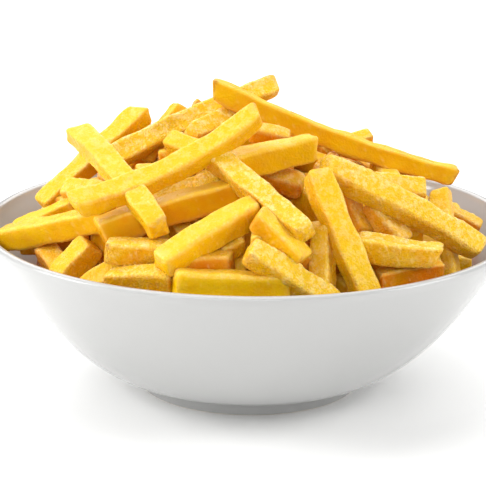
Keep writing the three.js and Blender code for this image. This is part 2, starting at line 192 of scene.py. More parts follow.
@dataclass
class Bowl:
    """The porcelain bowl: a flared wall on a low foot ring, with a rounded lip.

    Sizes are in mm. The wall's radius grows with its height to the power flare. Its rings crowd
    towards the foot by the power crowding, and below bare_height the foot ring has no glaze.
    """

    rim_radius: float = 114.5
    height: float = 72.0
    foot_radius: float = 47.3
    foot_flat: float = 2.2
    foot_edge: float = 0.6
    foot_slope: float = 2.4
    foot_height: float = 4.5
    foot_flare: float = 1.2
    recess: float = 3.2
    floor_radius: float = 44.5
    floor_height: float = 10.0
    rim_thickness: float = 3.8
    rim_rounding: float = 1.4
    wall_foot_radius: float = 48.0
    wall_foot_height: float = 6.0
    wall_start: float = 0.6
    flare: float = 0.56
    bare_height: float = 0.3
    around: int = 200
    wall_rings: int = 34
    lip_rings: int = 12
    crowding: float = 1.8

    @property
    def wall_top(self) -> float:
        """Height where the wall turns into the lip."""
        return self.height - self.rim_rounding

    def outer_radius(self, z: Array) -> Array:
        """Radius outside: from the foot's to the rim's, by the share of the height to a power."""
        share = (z - self.wall_foot_height) / (self.wall_top - self.wall_foot_height)
        reach = self.rim_radius - self.wall_foot_radius
        return self.wall_foot_radius + reach * np.clip(share, 0, None) ** self.flare

    def inner_radius(self, z: Array) -> Array:
        """Radius inside: from the floor's to the rim's, by the share of the height to a power."""
        share = (z - self.floor_height) / (self.wall_top - self.floor_height)
        reach = self.rim_radius - self.rim_thickness - self.floor_radius
        return self.floor_radius + reach * np.clip(share, 0, None) ** self.flare

    def inside_height(self, radius: Array) -> Array:
        """Height of the inside at a distance from the axis: the inverse of inner_radius."""
        reach = self.rim_radius - self.rim_thickness - self.floor_radius
        share = np.clip((radius - self.floor_radius) / reach, 0, None)
        return self.floor_height + (self.wall_top - self.floor_height) * share ** (1 / self.flare)

    def profile(self) -> Array:
        """Goes from the middle of the recess round the foot, the wall and the lip to the floor.

        Returns:
            Points (radius, height), both ends on the axis.
        """
        share = (np.arange(self.wall_rings + 1) / self.wall_rings) ** self.crowding
        start = self.wall_foot_height + self.wall_start
        z_out = start + (self.wall_top - start) * share
        z_in = self.floor_height + (self.wall_top - self.floor_height) * share[::-1]
        turn = np.pi * np.linspace(0, 1, self.lip_rings + 2)[1:-1]
        lip = np.stack([
            self.rim_radius - self.rim_thickness / 2 * (1 - np.cos(turn)),
            self.wall_top + self.rim_rounding * np.sin(turn),
        ], 1)
        # the recess and its rounded corner, the flat ring with rounded edges, the step to the wall
        foot_inside = self.foot_radius - self.foot_flat - self.foot_edge
        foot = np.array([
            [0, self.recess],
            [foot_inside * 0.5, self.recess],
            [foot_inside - self.foot_slope - 1.2, self.recess],
            [foot_inside - self.foot_slope, self.recess - 0.35],
            [foot_inside - 0.4, 0.35],
            [foot_inside, 0.06],
            [foot_inside + 0.3, 0],
            [self.foot_radius - self.foot_edge, 0],
            [self.foot_radius - 0.15, 0.25],
            [self.foot_radius, self.foot_edge],
            [self.foot_radius + self.foot_flare * 0.5, self.foot_height * 0.55],
            [self.foot_radius + self.foot_flare, self.foot_height],
            [self.foot_radius + self.foot_flare + 0.9, self.foot_height + 1.1],
        ])
        outer = np.stack([self.outer_radius(z_out), z_out], 1)[1:]
        inner = np.stack([self.inner_radius(z_in), z_in], 1)
        floor = np.array([[self.floor_radius * 0.55, self.floor_height], [0, self.floor_height]])
        return np.concatenate([foot, outer, lip, inner, floor])

    def build(self) -> bpy.types.Object:
        """Turns the profile about Z: x = r cos a, y = r sin a, one point on the axis per end.

        Returns:
            The bowl, with a mark where the clay is bare.
        """
        profile = self.profile()
        rings = profile[1:-1]
        angle = 2 * np.pi * np.arange(self.around) / self.around
        points = np.stack([
            rings[:, :1] * np.cos(angle),
            rings[:, :1] * np.sin(angle),
            np.broadcast_to(rings[:, 1:], (len(rings), self.around)),
        ], -1).reshape(-1, 3)
        poles = np.array([[0, 0, profile[0, 1]], [0, 0, profile[-1, 1]]])
        faces = tube_faces(1, len(rings), self.around)
        bare = (points[:, 2] < self.bare_height).astype(float)
        marks = {"bare_clay": np.concatenate([bare, [0, 0]])}
        return make_piece("bowl_porcelain", np.concatenate([points, poles]), faces, marks)

    def keep_inside(self, points: Array, gap: float = 0.25) -> Array:
        """Presses points back to the inner wall where they would pass it.

        Args:
            points: points in mm, shape (n, 3).
            gap: clearance left to the wall.

        Returns:
            The points, each scaled towards the axis to inner_radius(z) - gap where it lies beyond.
        """
        radius = np.hypot(points[:, 0], points[:, 1])
        z = np.clip(points[:, 2], self.floor_height, self.wall_top)
        limit = self.inner_radius(z) - gap
        low = points[:, 2] < self.height + gap
        scale = np.where(low & (radius > limit), limit / np.maximum(radius, 1e-6), 1.0)
        pressed = points.copy()
        pressed[:, :2] *= scale[:, None]
        pressed[:, 2] = np.maximum(pressed[:, 2], self.floor_height + gap)
        return pressed


def tube_faces(count: int, rings: int, around: int) -> list[list[int]]:
    """Faces of closed tubes whose rings come first and whose two poles come last.

    Args:
        count: how many tubes follow each other.
        rings: rings in each tube.
        around: points in each ring.

    Returns:
        Quads between neighbouring rings and a fan of triangles at each pole.
    """
    size = rings * around + 2
    base = np.arange(count)[:, None] * size
    ring, step = np.meshgrid(np.arange(rings - 1), np.arange(around), indexing="ij")
    here, there = ring * around, (step + 1) % around
    quad = np.stack([here + step, here + there, here + around + there, here + around + step], -1)
    quads = (base[:, :, None] + quad.reshape(1, -1, 4)).reshape(-1, 4)
    j = np.arange(around)
    k = (j + 1) % around
    last = (rings - 1) * around
    first_fan = np.stack([np.full(around, rings * around), k, j], -1)
    last_fan = np.stack([np.full(around, rings * around + 1), last + j, last + k], -1)
    fan = np.concatenate([first_fan, last_fan])
    fans = (base[:, :, None] + fan.reshape(1, -1, 3)).reshape(-1, 3)
    return quads.tolist() + fans.tolist()


def make_piece(
    name: str, points: Array, faces: list[list[int]], marks: dict[str, Array],
) -> bpy.types.Object:
    """Makes a smooth-shaded object from points in mm.

    Args:
        name: the piece's name.
        points: points in mm, shape (n, 3).
        faces: the points of each face, outward.
        marks: a number for each point under each attribute name.

    Returns:
        The object, at the origin.
    """
    mesh = bpy.data.meshes.new(name)
    mesh.from_pydata((points * MM).tolist(), [], faces)
    for key, values in marks.items():
        layer = mesh.attributes.new(key, "FLOAT", "POINT")
        layer.data.foreach_set("value", values.astype(np.float32))
    mesh.polygons.foreach_set("use_smooth", np.ones(len(mesh.polygons), bool))
    mesh.update()
    piece = bpy.data.objects.new(name, mesh)
    bpy.context.scene.collection.objects.link(piece)
    return piece


def waves(points: Array, length: float, seed: int, count: int = 9) -> Array:
    """A soft random field: sine waves of about one length, summed in random directions.

    Args:
        points: points in mm, shape (..., 3).
        length: typical wave length in mm.
        seed: seed of the directions and phases.
        count: how many waves are summed.

    Returns:
        The sum over the square root of the count, mostly between -1.5 and 1.5.
    """
    rng = np.random.default_rng(seed)
    way = rng.normal(size=(count, 3))
    way /= np.linalg.norm(way, axis=1, keepdims=True)
    way *= (2 * np.pi / length) * rng.uniform(0.7, 1.4, (count, 1))
    phase = rng.uniform(0, 2 * np.pi, count)
    return np.sin(points @ way.T + phase).sum(-1) / math.sqrt(count)


@dataclass
class Heap:
    """Where the fries lie: on a dome, over a core, inside the bowl.

    The dome rises over its edge, which lies dome_radius from the axis. The front ends and the back
    begins at the two y of turn_to_back. The ridge has a greatest height, a fall by the square of x
    and a slope to the back. A stacked fry keeps its clearance from the bowl, is tried higher by
    lift each time, and is held against the others at some probes on its middle line.
    """

    bowl: Bowl
    dome_radius: float = 104.0
    dome_edge: float = 66.0
    dome_rise: float = 54.0
    turn_to_back: tuple[float, float] = (-5.0, 25.0)
    ridge: tuple[float, float, float] = (121.0, 0.005, 0.28)
    clearance: float = 1.0
    lift: float = 1.0
    probes: int = 9

    def dome(self, x: Array, y: Array) -> Array:
        """Height of the dome: its edge plus its rise times 1 - (distance / radius) squared."""
        return self.dome_edge + self.dome_rise * (1 - (x * x + y * y) / self.dome_radius**2)

    def front_to_back(self, front: float, back: float, y: Array) -> Array:
        """A value that goes from front to back between the two turning lines."""
        start, end = self.turn_to_back
        return front + (back - front) * np.clip((y - start) / (end - start), 0, 1)

    def is_in_bowl(self, ends: Array, across: float) -> Array:
        """True where both ends, shape (..., 2, 3), lie clear above the bowl's inside."""
        radius = np.hypot(ends[..., 0], ends[..., 1]) + across / 2
        wall = self.bowl.inside_height(radius)
        return (ends[..., 2] - across / 2 > wall + self.clearance).all(-1)

    def is_under_ridge(self, ends: Array, across: float) -> Array:
        """True where both ends lie under the ridge, which falls to both sides and to the back."""
        height, fall, slope = self.ridge
        ridge = height - fall * ends[..., 0] ** 2 - slope * ends[..., 1]
        return (ends[..., 2] + across / 2 < ridge).all(-1)

    def is_clear(self, ends: Array, near: Array, others: Array) -> Array:
        """True where a fry's middle line keeps its distance from all others.

        Args:
            ends: both ends of each place tried, shape (h, 2, 3).
            near: least distance to each other fry, shape (n,).
            others: both ends of the other fries, shape (n, 2, 3).

        Returns:
            One answer per place: the distance from each probe on the middle line to the nearest
            point of each other middle line is at least near.
        """
        share = np.linspace(0, 1, self.probes)[None, :, None]
        probe = ends[:, :1] + (ends[:, 1:] - ends[:, :1]) * share
        along = others[:, 1] - others[:, 0]
        offset = probe[:, :, None] - others[None, None, :, 0]
        part = (offset * along).sum(-1) / (along * along).sum(-1)
        gap = offset - along * np.clip(part, 0, 1)[..., None]
        return (np.linalg.norm(gap, axis=-1) >= near).all((1, 2))

    def tried_places(self, rule: StackRule, draw: Draw, i: int) -> tuple[Array, float]:
        """Draws a fry at the next spot and lifts it step by step.

        The spot is radius * (cos, sin) of i golden angles. The fry lies along the dome: its slope
        is the drawn tilt less the dome's fall in its direction.

        Args:
            rule: how long, how thick and how high.
            draw: the random draw.
            i: number of the spot.

        Returns:
            Both ends at each height, lowest first, shape (h, 2, 3), and the fry's width.
        """
        radius = rule.radius * math.sqrt(draw.next())
        x = radius * math.cos(i * GOLDEN_ANGLE)
        y = radius * math.sin(i * GOLDEN_ANGLE)
        heading = math.pi * draw.next()
        length = draw.between(*rule.length)
        across = draw.between(*rule.across)
        tilt = draw.between(-rule.tilt, rule.tilt)
        way = np.array([math.cos(heading), math.sin(heading)])
        fall = 2 * self.dome_rise * (x * way[0] + y * way[1]) / self.dome_radius**2
        slope = tilt - fall
        run = length / 2 / math.hypot(1, slope)
        reach = np.array([way[0] * run, way[1] * run, slope * run])
        highest = self.front_to_back(rule.highest_front, rule.highest_back, y)
        z = self.dome(x, y) + np.arange(rule.lowest, highest, self.lift)
        middle = np.stack([np.full(len(z), x), np.full(len(z), y), z], 1)
        return np.stack([middle - reach, middle + reach], 1), across

    def stack(self, rule: StackRule, placed: list[Fry]) -> list[Fry]:
        """Stacks loose fries: spots spread by the golden angle, each fry in its lowest free place.

        Args:
            rule: how many, how long and how high.
            placed: the fries that lie there already.

        Returns:
            The new fries.
        """
        draw = Draw(rule.seed)
        ends = np.array([[fry.start, fry.end] for fry in placed], float)
        widths = np.array([fry.across for fry in placed], float)
        found: list[Fry] = []
        for i in range(rule.tries):
            tried, across = self.tried_places(rule, draw, i)
            fits = self.is_in_bowl(tried, across) & self.is_under_ridge(tried, across)
            if not fits.any():
                continue
            near = rule.nesting * (across + widths) / 2
            fits[fits] = self.is_clear(tried[fits], near, ends)
            if fits.any():
                place = tried[int(np.argmax(fits))]
                ends = np.concatenate([ends, place[None]])
                widths = np.append(widths, across)
                golden, amber = rule.tone
                tone = golden + (amber - golden) * ((i * TONE_STEP) % 1)
                found.append(Fry(tuple(place[0]), tuple(place[1]), across, tone=tone))
        return found


@dataclass(frozen=True)
class Cut:
    """How potatoes are cut and fried: the shapes that no two fries share."""

    # radius of the long edges, as a share of half the width
    rounding: tuple[float, float] = (0.22, 0.46)
    # how far a face sinks in its middle, as a share of half the width
    sink: tuple[float, float] = (-0.04, 0.1)
    skew: float = 0.08  # how much one side of the section is wider than the other
    taper: float = 0.11  # change of width from end to end
    swell: float = 0.045  # change of width along the length
    swell_pitch: float = 3.8  # length over which the swell's wave turns by one radian, in mm
    squash: tuple[float, float] = (0.95, 1.05)  # width over height of the section
    twist: float = 8.0  # turn from end to end, in degrees
    slant: float = 0.2  # slope of the cut ends
    slant_reach: float = 5.0  # how far from its end a slant dies away, in mm
    sway: float = 0.02  # sideways bend, as a share of the length


@dataclass(frozen=True)
class Skin:
    """Relief of the crust: fields of soft waves, and blisters that stand out of a finer field.

    Each soft field has a length and a height in mm and a seed. A blister begins at blister_level,
    lower by blister_share on the mealiest fry, and is full at blister_top over that.
    """

    soft: tuple[tuple[float, float, int], ...] = ((18.0, 0.2, 13), (8.0, 0.12, 15), (3.5, 0.04, 14))
    blister_length: float = 2.6
    blister_level: float = 1.3
    blister_share: float = 0.9
    blister_top: float = 1.2
    blister_height: float = 0.25

    def relief(self, points: Array, blistered: Array) -> tuple[Array, Array]:
        """Height of the skin: the soft waves and the blisters.

        A blister is what of its wave field stands above a level, so blisters come singly.

        Args:
            points: the points in mm.
            blistered: how many blisters each fry has, 0 to 1.

        Returns:
            The height in mm, and the blisters from 0 to 1.
        """
        level = self.blister_level - self.blister_share * blistered
        field_height = waves(points, self.blister_length, 12) - level
        raised = np.clip(field_height, 0, self.blister_top) / self.blister_top
        soft = sum(height * waves(points, length, seed) for length, height, seed in self.soft)
        return soft + self.blister_height * raised, raised


@dataclass
class FryBatch:
    """Many fries made at once, each a closed bar with its own small faults.

    A fry has rings of points along it and four quarters of points in each ring. At a cut end, cap
    gives each ring's distance from the end as a share of the width, and its size.
    """

    name: str
    fries: Sequence[Fry]
    bowl: Bowl
    rings: int = 96
    quarter: int = 11
    seed: int = 1
    cut: Cut = Cut()
    skin: Skin = Skin()
    cap: tuple[tuple[float, float], ...] = (
        (0.0, 0.4), (0.0, 0.7), (0.015, 0.82), (0.05, 0.9), (0.11, 0.955), (0.19, 0.985),
        (0.29, 1.0),
    )

    def of_each(self, key: str) -> Array:
        """One number of each fry, shape (fries, 1, 1)."""
        return np.array([getattr(fry, key) for fry in self.fries])[:, None, None]

    def frames(self) -> tuple[Array, ...]:
        """Sets up each fry's own axes; side and top take its turn.

        Returns:
            Start, direction, side and top, shape (fries, 3), and length, shape (fries,).
        """
        start = np.array([fry.start for fry in self.fries], float)
        end = np.array([fry.end for fry in self.fries], float)
        turn = np.radians([fry.turn for fry in self.fries])[:, None]
        length = np.linalg.norm(end - start, axis=1)
        along = (end - start) / length[:, None]
        side = np.cross([0, 0, 1], along)
        side /= np.linalg.norm(side, axis=1, keepdims=True)
        up = np.cross(along, side)
        top = up * np.cos(turn) - side * np.sin(turn)
        side = side * np.cos(turn) + up * np.sin(turn)
        return start, along, side, top, length

    def section(self, rng: np.random.Generator) -> tuple[Array, ...]:
        """A square of half width 1 with rounded corners and slightly sunk faces.

        Each quarter runs along half a face, round the arc of the corner and along half the next
        face: u = (1 - r)(1 - second) + r cos a, v = (1 - r) first + r sin a. A face sinks by its
        own depth times 1 - (distance from its middle) squared. The square is then skewed to a
        trapezium: u (1 + skew v), v (1 + skew u).

        Args:
            rng: the seeded random draw.

        Returns:
            u and v of the points, shape (fries, 1, around), then u and v of the outward normal
            and 0 to 1 towards a corner, shape (1, 1, around).
        """
        count = len(self.fries)
        t = np.arange(self.quarter) / self.quarter
        bend = np.clip((t - 0.25) / 0.5, 0, 1) * np.pi / 2
        first, second = np.clip(t / 0.25, 0, 1), np.clip((t - 0.75) / 0.25, 0, 1)
        r = rng.uniform(*self.cut.rounding, (count, 4, 1))
        u = (1 - r) * (1 - second) + r * np.cos(bend)
        v = (1 - r) * first + r * np.sin(bend)
        depth = rng.uniform(*self.cut.sink, (count, 4, 1))
        onward = np.roll(depth, -1, axis=1)
        early = t < 0.5
        fall = np.where(early, depth * (1 - v * v), onward * (1 - u * u))
        u = u - fall * np.where(early, 1, 0)
        v = v - fall * np.where(early, 0, 1)
        turn = np.arange(4)[:, None] * np.pi / 2
        cos, sin = np.round(np.cos(turn)), np.round(np.sin(turn))
        shape = (count, 1, 4 * self.quarter)
        u, v = (u * cos - v * sin).reshape(shape), (u * sin + v * cos).reshape(shape)
        skew = rng.uniform(-self.cut.skew, self.cut.skew, (2, count, 1, 1))
        normal = (turn + bend).reshape(1, 1, -1)
        corner = np.tile(np.sin(2 * bend), 4)[None, None]
        return u * (1 + skew[0] * v), v * (1 + skew[1] * u), np.cos(normal), np.sin(normal), corner

    def build(self) -> bpy.types.Object:
        """Carries the section along each fry.

        The section tapers, twists and sways along the length, the cut ends slant, and the skin
        stands out by soft waves and by blisters. What would pass the bowl's wall is set back.

        Returns:
            The object with all the fries of the batch.
        """
        rng = np.random.default_rng(self.seed)
        count = len(self.fries)
        each = (count, 1, 1)
        start, along, side, top, length = (value[:, None, None] for value in self.frames())
        across, arch = self.of_each("across"), self.of_each("arch")
        slant = np.array([fry.slants for fry in self.fries])[:, :, :, None, None]

        cap = np.array(self.cap)
        body = self.rings - 2 * len(cap)
        inner = np.linspace(0, 1, body + 2)[1:-1]
        steps = cap[:, 0] * across[:, 0] * self.of_each("blunt")[:, 0]
        reach = steps[:, -1:]
        dist = np.concatenate([
            steps,
            reach + (length[:, 0] - 2 * reach) * inner,
            length[:, 0] - steps[:, ::-1],
        ], 1)[:, :, None]
        size = np.concatenate([cap[:, 1], np.ones(body), cap[::-1, 1]])[None, :, None]
        share = dist / length

        su, sv, nu, nv, corner = self.section(rng)
        taper = 1 + rng.uniform(-self.cut.taper, self.cut.taper, each) * (2 * share - 1)
        squash = rng.uniform(*self.cut.squash, each)
        twist = np.radians(rng.uniform(-self.cut.twist, self.cut.twist, each)) * (share - 0.5)
        phase = rng.uniform(0, 2 * np.pi, (2, *each))
        swell = 1 + self.cut.swell * np.sin(length * share / self.cut.swell_pitch + phase)
        scale = 0.5 * across * size * taper * swell
        cos, sin = np.cos(twist), np.sin(twist)
        u, v = scale[0] * squash * su, scale[1] / squash * sv
        u, v = u * cos - v * sin, u * sin + v * cos

        sag = 4 * share * (1 - share)
        sway = rng.uniform(-self.cut.sway, self.cut.sway, each) * length * sag
        near_end = np.minimum(dist, length - dist)
        lean = slant + rng.uniform(-self.cut.slant, self.cut.slant, (count, 2, 2, 1, 1))
        hold = [np.exp(-from_end / self.cut.slant_reach) for from_end in (dist, length - dist)]
        d = dist + sum((lean[:, k, 0] * u + lean[:, k, 1] * v) * hold[k] for k in (0, 1))

        middle = (
            start + along * d[..., None] + side * sway[..., None] + top * (arch * sag)[..., None]
        )
        skin = side * u[..., None] + top * v[..., None]
        out = side * nu[..., None] + top * nv[..., None]
        rise, raised = self.skin.relief(middle + skin, self.of_each("blistered"))
        # the cut ends, where the section is small, stay flat
        points = middle + skin + out * (rise * size**6)[..., None]
        poles = np.stack([points[:, 0].mean(1), points[:, -1].mean(1)], 1)

        marks = self.marks(rng, points, near_end, corner, raised, size, out[..., 2])
        flat = np.concatenate([points.reshape(count, -1, 3), poles], 1).reshape(-1, 3)
        faces = tube_faces(count, self.rings, 4 * self.quarter)
        return make_piece(self.name, self.bowl.keep_inside(flat), faces, marks)

    def marks(
        self, rng: np.random.Generator, points: Array, near_end: Array,
        corner: Array, raised: Array, size: Array, upward: Array,
    ) -> dict[str, Array]:
        """Numbers for the material at each point.

        Browning is the fry's crispness times (corner squared times a patch, plus the ends, plus
        the rim times a fleck), and a very crisp fry has patches on its faces too. Patches and
        flecks are soft waves of 16 and 4 mm, and the ends fade within 1.6 mm.

        Args:
            rng: the seeded random draw.
            points: the points, shape (fries, rings, around, 3).
            near_end: distance to the nearer end.
            corner: 0 on the faces to 1 on the long edges.
            raised: blisters from 0 to 1.
            size: size of the section at each ring.
            upward: how far the skin faces up, -1 to 1, which the material turns into painted top
                light.

        Returns:
            One array per attribute, poles included.
        """
        count = len(self.fries)
        full = (count, self.rings, 4 * self.quarter)
        crisp = self.of_each("crisp")
        fleck = np.clip(0.45 + 0.7 * waves(points, 4.0, 32), 0, 1)
        patch = np.clip(0.4 + 0.7 * waves(points, 16.0, 31), 0, 1)
        ends = np.exp(-near_end / 1.6) * rng.uniform(0.2, 1.0, (count, 1, 1))
        rim = np.exp(-((size - 0.9) / 0.06) ** 2)
        brown = crisp * (0.45 * corner**2 * patch + 0.7 * ends + 0.35 * rim * fleck)
        brown = brown + 1.6 * np.clip(crisp - 0.75, 0, 1) * patch
        layers = {
            "browning": np.clip(brown, 0, 1),
            "tone": np.clip(self.of_each("tone") + 0.1 * waves(points, 24.0, 34), 0, 1),
            "blister": raised,
            "edge": np.maximum(corner, rim),
            "mealy": self.of_each("blistered"),
            "upward": np.clip(upward, 0, 1),
        }
        out = {}
        for key, values in layers.items():
            values = np.broadcast_to(values, full).reshape(count, -1)
            poles = np.stack([values[:, 0], values[:, -1]], 1)
            out[key] = np.concatenate([values, poles], 1).reshape(-1)
        return out


@dataclass
class Core:
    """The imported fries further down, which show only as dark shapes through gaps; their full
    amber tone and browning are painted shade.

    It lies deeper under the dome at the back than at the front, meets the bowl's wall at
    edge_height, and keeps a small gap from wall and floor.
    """

    heap: Heap
    depth_front: float = 24.0
    depth_back: float = 28.0
    edge_height: float = 46.0
    gap: float = 0.6
    floor_gap: float = 0.4
    wave: float = 12.0
    wave_height: float = 1.5
    rings: int = 59
    wall_rings: int = 12
    around: int = 160

    def build(self) -> bpy.types.Object:
        """A dome under the fries with soft relief, closed along the bowl's inside.

        Height is the dome's less the depth, plus soft waves. Below it follows the inner wall.

        Returns:
            The core, amber all over with some browning, as painted shade.
        """
        bowl = self.heap.bowl
        bottom = bowl.floor_height + self.floor_gap
        wall_z = np.linspace(bottom, self.edge_height, self.wall_rings)
        wall_r = bowl.inner_radius(wall_z) - self.gap
        top_r = wall_r[-1] * np.linspace(1, 0, self.rings - self.wall_rings + 2)[1:-1]
        radius = np.concatenate([wall_r, top_r])[:, None]
        angle = 2 * np.pi * np.arange(self.around) / self.around
        x, y = radius * np.cos(angle), radius * np.sin(angle)
        depth = self.heap.front_to_back(self.depth_front, self.depth_back, y)
        z = self.heap.dome(x, y) - depth
        z[: len(wall_z)] = wall_z[:, None]
        relief = waves(np.stack([x, y, z], -1), self.wave, 41) * self.wave_height
        relief[: len(wall_z)] = 0
        z = z + relief
        points = np.stack([x, y, z], -1).reshape(-1, 3)
        peak = self.heap.dome(0, 0) - self.depth_front
        poles = np.array([[0, 0, bottom], [0, 0, peak]])
        flat = np.concatenate([points, poles])
        faces = tube_faces(1, len(radius), self.around)
        ones = np.ones(len(flat))
        # painted shade: full amber tone and some browning all over
        marks = {"browning": ones * 0.35, "tone": ones, "mealy": ones * 0.3}
        return make_piece("fries_core", flat, faces, marks)


Socket = bpy.types.NodeSocket

# settings of the nodes that mix colours, map a range softly and do sums
RGBA = {"data_type": "RGBA"}
SMOOTH = {"interpolation_type": "SMOOTHSTEP"}
ADD = {"operation": "ADD"}
TIMES = {"operation": "MULTIPLY"}
TIMES_ADD = {"operation": "MULTIPLY_ADD"}
CLAMPED = {"operation": "MULTIPLY_ADD", "use_clamp": True}


def linear(hex_colour: str) -> tuple[float, float, float, float]:
    """Turns a screen colour into linear light by the sRGB curve.

    Args:
        hex_colour: red, green and blue in hex, such as F2B632.

    Returns:
        Linear red, green and blue, and an alpha of 1.
    """
    parts = [int(hex_colour[i:i + 2], 16) / 255 for i in (0, 2, 4)]
    r, g, b = [c / 12.92 if c <= 0.04045 else ((c + 0.055) / 1.055) ** 2.4 for c in parts]
    return (r, g, b, 1.0)


def add_node(
    tree: bpy.types.NodeTree,
    kind: str,
    settings: dict[str, object] | None = None,
    inputs: dict[str | int, object] | None = None,
    out: str | int = 0,
) -> Socket | None:
    """Adds a node with its settings and links.

    Args:
        tree: the node tree.
        kind: Blender's name for the node, without ShaderNode in front.
        settings: the node's own properties.
        inputs: a value, or the output socket to link, for each input by name or number.
        out: name or number of the output that is wanted.

    Returns:
        That output, or None from a node that has none.
    """
    node = tree.nodes.new("ShaderNode" + kind)
    for key, value in (settings or {}).items():
        setattr(node, key, value)
    for key, value in (inputs or {}).items():
        if isinstance(value, Socket):
            tree.links.new(value, node.inputs[key])
        else:
            node.inputs[key].default_value = value
    return node.outputs[out] if node.outputs else None


def start_material(name: str) -> tuple[bpy.types.Material, Callable[..., Socket], Socket]:
    """Makes a material whose patterns follow the object's own coordinates.

    Args:
        name: the material's name.

    Returns:
        The material, add_node for its tree, and the place that patterns start from.
    """
    material = bpy.data.materials.new(name)
    material.use_nodes = True
    tree = material.node_tree
    tree.nodes.clear()
    add = partial(add_node, tree)
    return material, add, add("Mapping", inputs={"Vector": add("TexCoord", out="Object")})


@dataclass(frozen=True)
class GlazedPorcelain:
    """White glazed porcelain, fired: a body coloured mid grey as painted shade of the wall, clear
    glass coat, bare clay under the foot.
    """

    # mid grey in place of white: painted shade of the bowl's wall
    body: str = "B7B7B6"
    clay: str = "DCD6CA"
    roughness: float = 0.09
    clay_roughness: float = 0.75
    ior: float = 1.52
    glaze_wave: float = 28.0  # mm between the soft swells of the glaze
    glaze_height: float = 0.05  # mm
    glaze_strength: float = 0.35

    def build(self) -> bpy.types.Material:
        """Joins glaze and bare clay by the mesh's own mark.

        Returns:
            The material.
        """
        material, add, place = start_material("glazed_porcelain")
        # slow swells in the glaze bend the reflections a little, as on a real pot
        swell = add("TexNoise", inputs={
            "Vector": place, "Scale": 1000 / self.glaze_wave, "Detail": 2.0, "Roughness": 0.4,
        })
        bump = add("Bump", inputs={
            "Height": swell, "Strength": self.glaze_strength, "Distance": self.glaze_height * MM,
        })
        # the ring that stood on the kiln shelf stays unglazed and dull
        clay = add("Attribute", {"attribute_name": "bare_clay"}, out="Fac")
        colour = add("Mix", RGBA, {"Factor": clay, 6: linear(self.body), 7: linear(self.clay)}, 2)
        dull = add("MapRange", inputs={
            "Value": clay, "To Min": self.roughness, "To Max": self.clay_roughness,
        })
        shader = add("BsdfPrincipled", inputs={
            "Base Color": colour, "Roughness": dull, "IOR": self.ior, "Normal": bump,
        })
        add("OutputMaterial", inputs={"Surface": shader})
        return material


